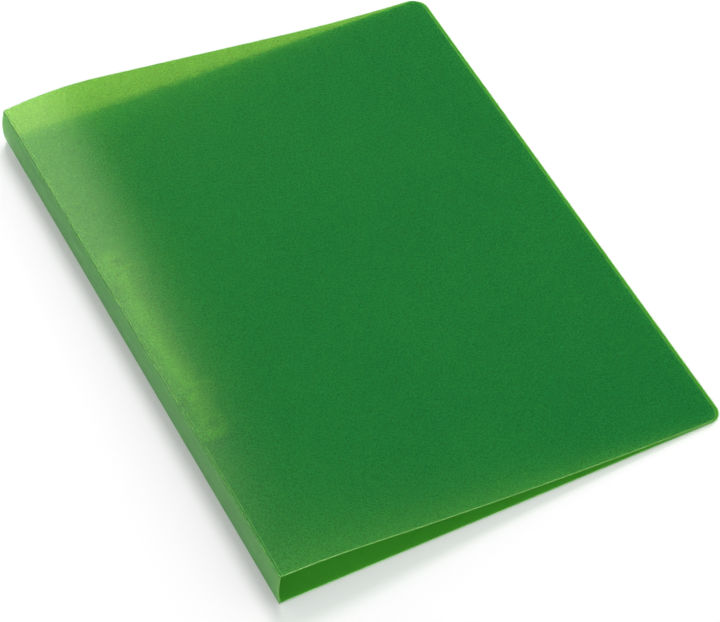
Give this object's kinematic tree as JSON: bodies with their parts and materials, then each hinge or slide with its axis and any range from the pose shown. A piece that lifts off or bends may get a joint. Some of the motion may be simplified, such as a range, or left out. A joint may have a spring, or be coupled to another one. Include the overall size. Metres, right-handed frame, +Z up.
{
  "type": "ring binder album",
  "caption": "Closed two-ring album binder of see-through green plastic sheet, wedge-shaped, with creased spine and a riveted metal ring mechanism inside.",
  "frame": {"origin": "middle of the back cover's underside, where the closed binder rests", "axes": "+X from the spine to the fore edge, +Y along the spine, +Z up from the back cover to the front cover"},
  "size_m": [0.2536, 0.315, 0.0277],
  "materials": {
    "cover_plastic": "see-through dyed polypropylene with a fine satin grain",
    "crease_plastic": "thin pressed web of the same sheet, slightly glossier",
    "ring_wire": "bright nickel plate on steel wire",
    "mechanism_steel": "nickel plated sheet steel",
    "rivet_metal": "plain plated rivet"
  },
  "bodies": {
    "back": {"back_cover": "cover_plastic", "top_plate": "mechanism_steel", "rivet_near": "rivet_metal", "rivet_far": "rivet_metal"},
    "spine": {"spine_panel": "cover_plastic", "back_crease": "crease_plastic", "front_crease": "crease_plastic"},
    "front": {"front_cover": "cover_plastic"},
    "right_leaf": {"hinge_plate_right": "mechanism_steel", "half_ring_right_near": "ring_wire", "half_ring_right_far": "ring_wire"},
    "left_leaf": {"hinge_plate_left": "mechanism_steel", "half_ring_left_near": "ring_wire", "half_ring_left_far": "ring_wire"}
  },
  "joints": [
    {"name": "back_hinge", "type": "hinge", "parent": "back", "child": "spine", "pos_m": [-0.1255, 0, 0.0005], "axis": [0, -1, 0], "range_deg": [0, 80]},
    {"name": "front_hinge", "type": "hinge", "parent": "spine", "child": "front", "pos_m": [-0.1265, 0, 0.0245], "axis": [0, -1, 0], "range_deg": [0, 100]},
    {"name": "right_leaf_hinge", "type": "hinge", "parent": "back", "child": "right_leaf", "pos_m": [-0.103, 0, 0.002], "axis": [0, 1, 0], "range_deg": [0, 24]},
    {"name": "left_leaf_hinge", "type": "hinge", "parent": "back", "child": "left_leaf", "pos_m": [-0.117, 0, 0.002], "axis": [0, -1, 0], "range_deg": [0, 24]}
  ],
  "couplings": [
    {"joint": "left_leaf_hinge", "follows": "right_leaf_hinge", "ratio": 1}
  ]
}
